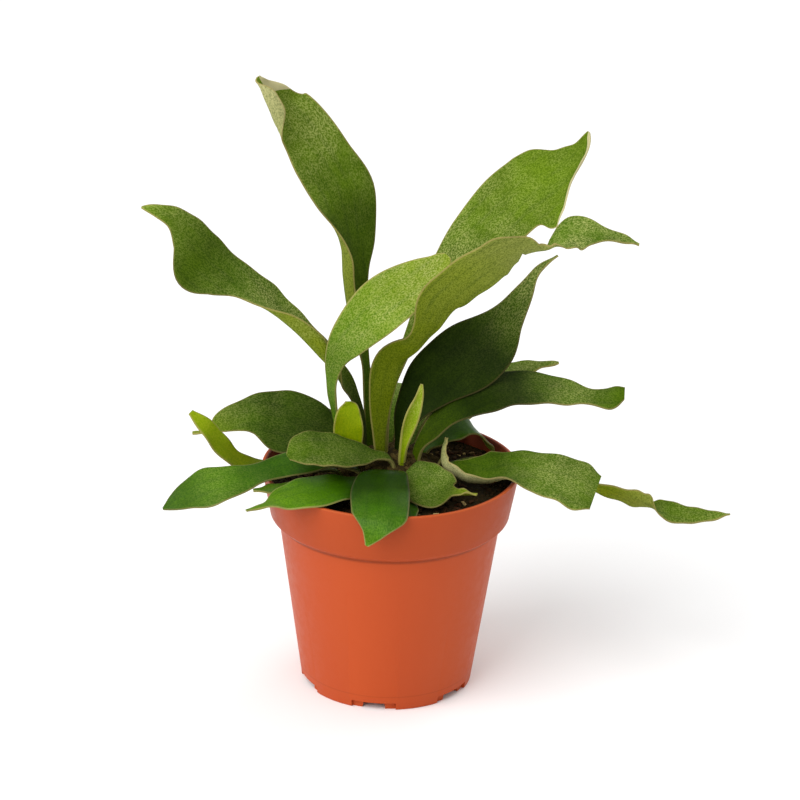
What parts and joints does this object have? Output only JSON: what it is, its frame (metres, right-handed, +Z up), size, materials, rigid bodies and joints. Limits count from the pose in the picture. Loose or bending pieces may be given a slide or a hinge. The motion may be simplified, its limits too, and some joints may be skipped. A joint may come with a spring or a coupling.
{
  "type": "potted staghorn fern",
  "caption": "Young staghorn fern: arching undivided strap fronds on a scaly crown, in dark peaty mix, in a tapered plastic nursery pot with a rim band and a notched foot.",
  "frame": {"origin": "under the middle of the whole object's box, on the surface that the pot stands on", "axes": "+Z up, -Y towards the picture's camera, +X to the picture's right"},
  "size_m": [0.2464, 0.1388, 0.2539],
  "materials": {
    "pot_plastic": "satin",
    "potting_mix": "matte",
    "crown_scales": "matte",
    "frond_grey_green": "matte",
    "frond_bright_green": "satin",
    "frond_yellow_green": "satin"
  },
  "bodies": {
    "root": {"pot": "pot_plastic", "mix": "potting_mix", "crown": "crown_scales", "frond_tall_left": "frond_grey_green", "frond_long_left": "frond_grey_green", "frond_pale_arch": "frond_bright_green", "frond_big_front": "frond_grey_green", "frond_upper_right": "frond_grey_green", "frond_dark_right": "frond_grey_green", "frond_middle_right": "frond_grey_green", "frond_back_right": "frond_grey_green", "frond_over_mix": "frond_bright_green", "frond_yellow_round": "frond_yellow_green", "frond_round_left": "frond_grey_green", "frond_yellow_narrow": "frond_yellow_green", "frond_low_left": "frond_bright_green", "frond_matt_front": "frond_grey_green", "frond_glossy_front": "frond_bright_green", "frond_small_left": "frond_bright_green", "frond_over_rim": "frond_bright_green", "frond_shaded_front": "frond_bright_green", "frond_front_right": "frond_grey_green", "frond_young_upright": "frond_yellow_green", "frond_thin_young": "frond_yellow_green", "frond_right_front": "frond_grey_green", "frond_far_right": "frond_grey_green", "frond_hidden_left": "frond_grey_green", "frond_hidden_back": "frond_grey_green", "frond_hidden_right": "frond_bright_green"}
  },
  "joints": []
}
